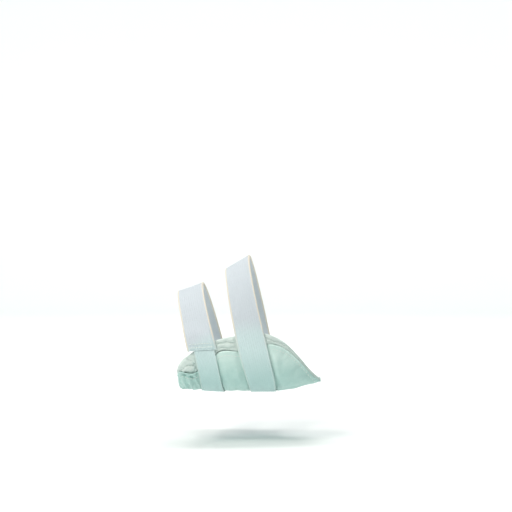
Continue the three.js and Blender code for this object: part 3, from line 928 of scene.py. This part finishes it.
def make_stitches(cover_settings, settings):
    """The seams' stitches as one piece: the cover's hem, the rows across the front strap's lap and
    those across the rear strap's join under the sole. The overlock over the padding's inner edge
    is the other piece."""
    station = np.linspace(2.5, PAD_LENGTH - 4, 400)
    down = cover_settings.hem_width / MM
    angle = seam_angle(station, down)
    lift = cover_lift(station, angle, np.full(station.shape, down), cover_settings)
    hem = padding_point(station, angle, 0, lift)
    runs = [run_of_stitches(hem, outward(station, angle), settings.pitch / MM)]
    foot = lap_angles()[0] + 2 * math.pi
    lap = STRAP_THICKNESS + LAYER_GAP
    for back in LAP_ROWS:
        turn = foot - back / ARCH_RADIUS
        runs.append(strap_row(FRONT_COURSE, FRONT_STRAP_AT, turn, LAP_SLANT, lap, settings))
    for back in JOIN_ROWS:
        turn = JOIN_ANGLE - back / ARCH_RADIUS
        runs.append(strap_row(REAR_COURSE, REAR_STRAP_AT, turn, 0, 0, settings))
    runs = [np.concatenate(values) for values in zip(*runs)]
    seams = stitch_mesh("seam_stitches", *runs, settings.stitch / MM)
    station = np.linspace(0.02, 0.93, 400) * PAD_LENGTH
    angle = inner_edge_angle(station)
    deep = (INSET + EDGE_THICKNESS) / 2
    edge = wrapped_point(station, angle, deep)
    past = wrapped_point(station, angle + 0.02, deep) - wrapped_point(station, angle - 0.02, deep)
    past = past / np.linalg.norm(past, axis=1, keepdims=True)
    rail = edge + 0.3 * past
    centres, facing = spaced(rail, OVERLOCK_PITCH, rail, past)
    (square,) = spaced(edge, OVERLOCK_PITCH, outward(station, angle))
    count = min(len(centres), len(square))
    over = [values[:count] for values in (centres, square, facing)]
    return seams, stitch_mesh("edge_stitches", *over, 2 * deep + 0.6)


def strap_row(course, at, turn, slant, lap, settings):
    """A row of stitches across a strap at a turn, on the strap's outer face. Lap is how far that
    face is lifted by a layer below it."""
    turn = np.array(turn)
    middle, width = strap_at(course, at, turn)
    across = np.linspace(-ROW_HALF, ROW_HALF, 60)
    station = middle + across * width / 2
    place = slanted(station, middle, turn, slant)
    square = outward(station, place)
    high = LAYER_GAP + STRAP_THICKNESS + 0.05 + lap * edge_fall(across)
    path = wrapped_point(station, place) + square * high[:, None]
    return run_of_stitches(path, square, settings.pitch / MM * 0.8)


# Materials.


def linear_colour(value):
    """An sRGB hex colour as the linear numbers that a shader takes."""
    parts = np.array([int(value[i : i + 2], 16) for i in (0, 2, 4)]) / 255
    linear = np.where(parts <= 0.04045, parts / 12.92, ((parts + 0.055) / 1.055) ** 2.4)
    return (*linear.tolist(), 1.0)


def add_node(tree, kind, settings=None, inputs=None, links=None):
    """A node with its settings, its input values and its links by input name."""
    node = tree.nodes.new(kind)
    for name, value in (settings or {}).items():
        setattr(node, name, value)
    for name, value in (inputs or {}).items():
        node.inputs[name].default_value = value
    for name, socket in (links or {}).items():
        tree.links.new(socket, node.inputs[name])
    return node


def new_material(name):
    """An empty node material and its tree."""
    material = bpy.data.materials.new(name)
    material.use_nodes = True
    material.node_tree.nodes.clear()
    return material, material.node_tree


def finish_material(tree, shader_inputs, shader_links):
    """The cloth's shader and the output."""
    shader = add_node(tree, "ShaderNodeBsdfPrincipled", inputs=shader_inputs, links=shader_links)
    add_node(tree, "ShaderNodeOutputMaterial", links={"Surface": shader.outputs["BSDF"]})


def marked(tree, name):
    """The numbers that mark_points gave the points."""
    return add_node(tree, "ShaderNodeAttribute", {"attribute_name": name}).outputs["Fac"]


def noise(tree, patch, detail, roughness):
    """An uneven value over the piece, by its place. Its largest patches are given in mm."""
    place = add_node(tree, "ShaderNodeTexCoord").outputs["Object"]
    size = {"Scale": 1 / (patch * MM), "Detail": detail, "Roughness": roughness}
    return add_node(tree, "ShaderNodeTexNoise", inputs=size, links={"Vector": place}).outputs["Fac"]


def threads(tree, way, pitch, distortion, detail, detail_scale):
    """Soft bands across the cloth's length for way X, or its width for Y, at a pitch in mm."""
    place = add_node(tree, "ShaderNodeUVMap", {"uv_map": "cloth"}).outputs["UV"]
    size = {"Scale": WAVE_PITCH / (pitch * MM), "Distortion": distortion}
    size = {**size, "Detail": detail, "Detail Scale": detail_scale}
    kind = {"bands_direction": way, "wave_type": "BANDS"}
    return add_node(tree, "ShaderNodeTexWave", kind, size, {"Vector": place}).outputs["Fac"]


def bump(tree, height, strength, depth, below=None):
    """A bump, its depth in mm, from a height's value and on top of the one below if there is one."""
    links = {"Height": height, "Normal": below} if below else {"Height": height}
    size = {"Strength": strength, "Distance": depth * MM}
    return add_node(tree, "ShaderNodeBump", inputs=size, links=links).outputs["Normal"]


def blend(tree, value, *stops):
    """Colours by a value, from stops of a place and a colour each, in rising order."""
    ramp = add_node(tree, "ShaderNodeValToRGB", links={"Fac": value})
    elements = ramp.color_ramp.elements
    for place, colour in stops[1:-1]:
        elements.new(place).color = linear_colour(colour)
    for element, (place, colour) in ((elements[0], stops[0]), (elements[-1], stops[-1])):
        element.position = place
        element.color = linear_colour(colour)
    return ramp.outputs["Color"]


def knit_material(name, pale, deep, pitch, depth, crumpled, sheen):
    """Warp-knitted nylon and spandex jersey: columns of small loops that give a matt face with a
    soft bright edge where it turns away. It is dyed mint, and painted shade is mixed into the dye:
    the colour is painted paler towards the top and deeper lower down, where less light falls.
    Loops are 0.3 mm wide, and are drawn at the pitch given so that a picture can show them. The
    pitch and the two depths are in mm. The dye is mottled in patches of 5 mm, and the cloth has
    crumples of 2.4 mm."""
    material, tree = new_material(name)
    # The colour mixes the dye's random mottle with painted light: paler high up, deeper low down.
    mottle_and_painted_light = add_node(
        tree,
        "ShaderNodeMath",
        {"operation": "MULTIPLY_ADD"},
        {1: 0.7},
        {0: noise(tree, 4.762, 4.0, 0.65), 2: marked(tree, "painted_light")},
    )
    colour = blend(tree, mottle_and_painted_light.outputs["Value"], (0.2, deep), (1.0, pale))
    waves = [threads(tree, way, pitch, 1.5, 1.0, 3.0) for way in "XY"]
    product = {"operation": "MULTIPLY"}
    loops = add_node(tree, "ShaderNodeMath", product, links=dict(enumerate(waves)))
    normal = bump(tree, loops.outputs["Value"], 0.5, depth)
    normal = bump(tree, noise(tree, 2.381, 2.0, 0.5), 0.5, crumpled, normal)
    finish_material(
        tree,
        {
            "Roughness": 0.88,
            "IOR": 1.5,
            "Sheen Weight": sheen,
            "Sheen Roughness": 0.5,
            "Specular IOR Level": 0.3,
        },
        {"Base Color": colour, "Normal": normal},
    )
    return material


def elastic_material():
    """Woven polyester elastic: weft threads 0.7 mm apart, on rubber cores. It is cool white. Where
    it lies over the mint cloth it is painted mint, as bounce light, and darker lower down, as
    painted shade. The selvedges are cream, where the rubber's cover yarn shows."""
    material, tree = new_material("woven elastic")
    # Painted bounce light and shade: cool white, then paler mint, then deeper mint low down over the
    # cloth.
    tints = (0.0, "CBD1D8"), (0.4, "D0E3E4"), (1.0, "B5D3D1")
    colour = add_node(
        tree,
        "ShaderNodeMix",
        {"data_type": "RGBA"},
        {7: linear_colour("E4DBCD")},
        {"Factor": marked(tree, "selvedge"), 6: blend(tree, marked(tree, "painted_bounce_shade"), *tints)},
    )
    normal = bump(tree, threads(tree, "X", 0.7, 2.0, 2.0, 2.0), 0.4, 0.2)
    finish_material(
        tree,
        {"Roughness": 0.75, "IOR": 1.5, "Sheen Weight": 0.2, "Sheen Roughness": 0.4},
        {"Base Color": colour.outputs[2], "Normal": normal},
    )
    return material


def liner_material():
    """Brushed nylon tricot on foam: a raised pile in tufts of 0.7 mm, which scatters light and
    looks soft."""
    material, tree = new_material("brushed liner")
    look = {"Roughness": 0.95, "Sheen Weight": 0.5, "Sheen Roughness": 0.6}
    finish_material(
        tree,
        {"Base Color": linear_colour("E4EFE8"), **look},
        {"Normal": bump(tree, noise(tree, 0.7143, 3.0, 0.7), 0.7, 0.4)},
    )
    return material


def thread_material():
    """Spun polyester sewing thread: white, with a faint gloss."""
    material, tree = new_material("polyester thread")
    finish_material(
        tree, {"Base Color": linear_colour("E6ECE8"), "Roughness": 0.6, "Sheen Weight": 0.2}, {}
    )
    return material


def studio_paper():
    """Seamless photographic paper: matt, almost white."""
    material, tree = new_material("studio paper")
    finish_material(tree, {"Base Color": linear_colour("F7F8F8"), "Roughness": 0.9}, {})
    return material


def dress(obj, material, node):
    """Gives a piece its material, hides the CAD part of that name, and hangs the piece from the root
    body.
    """
    obj.data.materials.append(material)
    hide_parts(node)
    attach(obj, "root")


# Settings, operators and the panel.


def number(name, description, default, low, high, **how):
    """A number in the sidebar."""
    return FloatProperty(
        name=name, description=description, default=default, min=low, max=high, **how
    )


def metres(name, description, default, low, high):
    """A length in metres that the sidebar shows in millimetres."""
    how = {"precision": 2, "subtype": "DISTANCE", "unit": "LENGTH"}
    return number(name, description, default, low, high, **how)


class CoverSettings(PropertyGroup):
    swell: metres("Swell", "How far the cover bellies out between the straps", 0.0015, 0, 0.003)
    hem_width: metres("Hem width", "Depth of the turned hem at the top edge", 0.003, 0.002, 0.008)
    wrinkle: number("Creases", "Strength of the creases pressed into the cover", 1.0, 0, 2)


class RimSettings(PropertyGroup):
    fold_depth: metres("Fold depth", "Depth of the rim's long folds", 0.0019, 0, 0.003)
    folds: number("Folds", "Long folds between the rim's top edge and its seam", 3.0, 1, 6)


class StrapSettings(PropertyGroup):
    rib_pitch: metres("Rib pitch", "Distance from rib to rib", 0.00134, 0.0008, 0.004)
    rib_depth: metres("Rib depth", "Height of the lengthwise ribs", 0.00014, 0, 0.0006)
    selvedge: metres("Selvedge", "Width of the cream edge", 0.0012, 0.0004, 0.003)


class CushionSettings(PropertyGroup):
    pressure: number("Pressure", "Pressure inside the foam's liner", 4.0, 0, 50)
    swell: metres("Greatest swell", "The furthest that the liner may swell", 0.001, 0, 0.004)
    fill: number("Fill", "How full the foam is, up to 1", 0.7, 0, 1)


class StitchSettings(PropertyGroup):
    pitch: metres("Pitch", "Distance from stitch to stitch", 0.0022, 0.001, 0.006)
    stitch: metres("Stitch", "Length of one stitch", 0.0016, 0.0005, 0.005)


class StageSettings(PropertyGroup):
    held_up: metres("Held up", "Height of the worn brace above the floor", 0.03, 0.0003, 0.3)
    lens: number("Lens", "Focal length in millimetres, on a 36 mm wide sensor", 88.72, 20, 300)
    key: number("Key light", "Power of the main soft light", 9.6, 0, 90)
    paper: number("Paper light", "Power of the light on the paper", 45.0, 0, 500)
    sky: number("Surroundings", "Strength of the even light", 0.345, 0, 5)


class BRACE_OT_cover(Operator):
    """Draw the outer cover in knit cloth"""

    bl_idname = "brace.cover"
    bl_label = "Outer Cover"

    def execute(self, context):
        cover, girth, area = make_cover(context.scene.brace_cover)
        cloth = knit_material("cover knit", "D3E9E3", "AFD2CC", 0.6, 0.2, 0.5, 0.2)
        dress(cover, cloth, "outer_cover")
        return {"FINISHED"}


class BRACE_OT_rim(Operator):
    """Draw the gathered rim over the cushion's lip"""

    bl_idname = "brace.rim"
    bl_label = "Top Rim"

    def execute(self, context):
        rim, width, area = make_rim(context.scene.brace_rim)
        cloth = knit_material("rim knit", "D8E4DF", "B6CECA", 0.7, 0.3, 1.1, 0.3)
        dress(rim, cloth, "top_rim")
        return {"FINISHED"}


class BRACE_OT_straps(Operator):
    """Draw the two elastic straps"""

    bl_idname = "brace.straps"
    bl_label = "Straps"

    def execute(self, context):
        settings = context.scene.brace_straps
        elastic = elastic_material()
        dress(make_front_strap(settings), elastic, "front_strap")
        dress(make_rear_strap(settings), elastic, "rear_strap")
        return {"FINISHED"}


class BRACE_OT_stitches(Operator):
    """Draw the seams' stitches"""

    bl_idname = "brace.stitches"
    bl_label = "Stitches"

    def execute(self, context):
        scene = context.scene
        thread = thread_material()
        for run in make_stitches(scene.brace_cover, scene.brace_stitches):
            run.data.materials.append(thread)
            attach(run, "root")
        return {"FINISHED"}


class BRACE_OT_cushion(Operator):
    """Draw the foam cushion with its brushed liner"""

    bl_idname = "brace.cushion"
    bl_label = "Arch Cushion"

    def execute(self, context):
        settings = context.scene.brace_cushion
        cushion = make_cushion(settings)
        dress(cushion, liner_material(), "arch_cushion")
        return {"FINISHED"}


class BRACE_OT_stage(Operator):
    """Set the pale floor, the soft lights and the camera"""

    bl_idname = "brace.stage"
    bl_label = "Stage"

    def execute(self, context):
        make_stage(context.scene, context.scene.brace_stage)
        return {"FINISHED"}


def paper_dish(floor):
    """Seamless paper: a level floor that bends up all round. Its height over the floor is
    PAPER_BEND times the square of the distance past a circle of PAPER_LEVEL."""
    count = PAPER_PARTS + 1
    side = np.linspace(-PAPER_HALF, PAPER_HALF, count)
    y, x = np.meshgrid(side, side)
    past = np.clip(np.hypot(x, y) - PAPER_LEVEL, 0, None)
    points = np.stack([x, y, floor + PAPER_BEND * past**2], axis=-1).reshape(-1, 3)
    i, j = (a.ravel() for a in np.mgrid[0:PAPER_PARTS, 0:PAPER_PARTS])
    faces = (i * count + j)[:, None] + np.array([0, count, count + 1, 1])
    paper = mesh_object("studio_paper", points, faces, np.zeros((faces.size, 2)))
    paper.data.materials.append(studio_paper())
    return paper


def soft_light(name, place, aim, size, power, colour):
    """A square soft light at a place that faces a point."""
    light = bpy.data.lights.new(name, "AREA")
    light.shape = "SQUARE"
    light.size = size
    light.energy = power
    light.color = linear_colour(colour)[:3]
    lamp = bpy.data.objects.new(name, light)
    lamp.location = place
    lamp.rotation_euler = (Vector(aim) - Vector(place)).to_track_quat("-Z", "Y").to_euler()
    bpy.context.scene.collection.objects.link(lamp)
    return lamp


def make_stage(scene, settings):
    """Pale paper, a key light from the upper left, a light on the paper behind, three that are a
    tenth as strong on its other sides, and a cool even light from the surroundings."""
    paper_dish(CAD_BOX[0].z - settings.held_up)
    soft_light("key_light", (-0.6, -0.75, 1.0), (0, 0, 0), 0.6, settings.key, "FFF9F2")
    for x, y in ((0, 1), (1, 0), (0, -1), (-1, 0)):
        power = settings.paper * (1 if y > 0 else 0.1)
        place, aim = (x / 2, y / 2, 1.9), (2.6 * x, 2.6 * y, 0.5)
        soft_light("paper_light", place, aim, 1.6, power, "FFFBF9")
    world = bpy.data.worlds.new("surroundings")
    scene.world = world
    world.use_nodes = True
    background = world.node_tree.nodes["Background"]
    background.inputs["Color"].default_value = linear_colour("DDF6F6")
    background.inputs["Strength"].default_value = settings.sky
    camera = bpy.data.cameras.new("camera")
    camera.sensor_width = SENSOR_WIDTH
    camera.lens = settings.lens
    camera.clip_start, camera.clip_end = 0.05, 20.0
    eye = bpy.data.objects.new("camera", camera)
    eye.location = CAMERA_PLACE
    eye.rotation_euler = (math.pi / 2, 0, 0)
    scene.collection.objects.link(eye)
    scene.camera = eye
    scene.view_settings.view_transform = "Standard"


class BRACE_PT_panel(Panel):
    """The brace's pieces, in the 3D view's sidebar"""

    bl_idname = "BRACE_PT_panel"
    bl_label = "Arch Support Brace"
    bl_space_type = "VIEW_3D"
    bl_region_type = "UI"
    bl_category = "Brace"

    def draw(self, context):
        for group, settings, operator in PIECES:
            box = self.layout.box()
            chosen = getattr(context.scene, group)
            for name in settings.__annotations__:
                box.prop(chosen, name)
            box.operator(operator.bl_idname)


PIECES = [
    ("brace_cushion", CushionSettings, BRACE_OT_cushion),
    ("brace_cover", CoverSettings, BRACE_OT_cover),
    ("brace_rim", RimSettings, BRACE_OT_rim),
    ("brace_straps", StrapSettings, BRACE_OT_straps),
    ("brace_stitches", StitchSettings, BRACE_OT_stitches),
    ("brace_stage", StageSettings, BRACE_OT_stage),
]


def register():
    for group, settings, operator in PIECES:
        bpy.utils.register_class(settings)
        bpy.utils.register_class(operator)
        setattr(bpy.types.Scene, group, PointerProperty(type=settings))
    bpy.utils.register_class(BRACE_PT_panel)


def unregister():
    bpy.utils.unregister_class(BRACE_PT_panel)
    for group, settings, operator in reversed(PIECES):
        delattr(bpy.types.Scene, group)
        bpy.utils.unregister_class(operator)
        bpy.utils.unregister_class(settings)


def main():
    register()
    bpy.ops.brace.cushion()
    bpy.ops.brace.cover()
    bpy.ops.brace.rim()
    bpy.ops.brace.straps()
    bpy.ops.brace.stitches()
    bpy.ops.brace.stage()


if __name__ == "__main__":
    main()
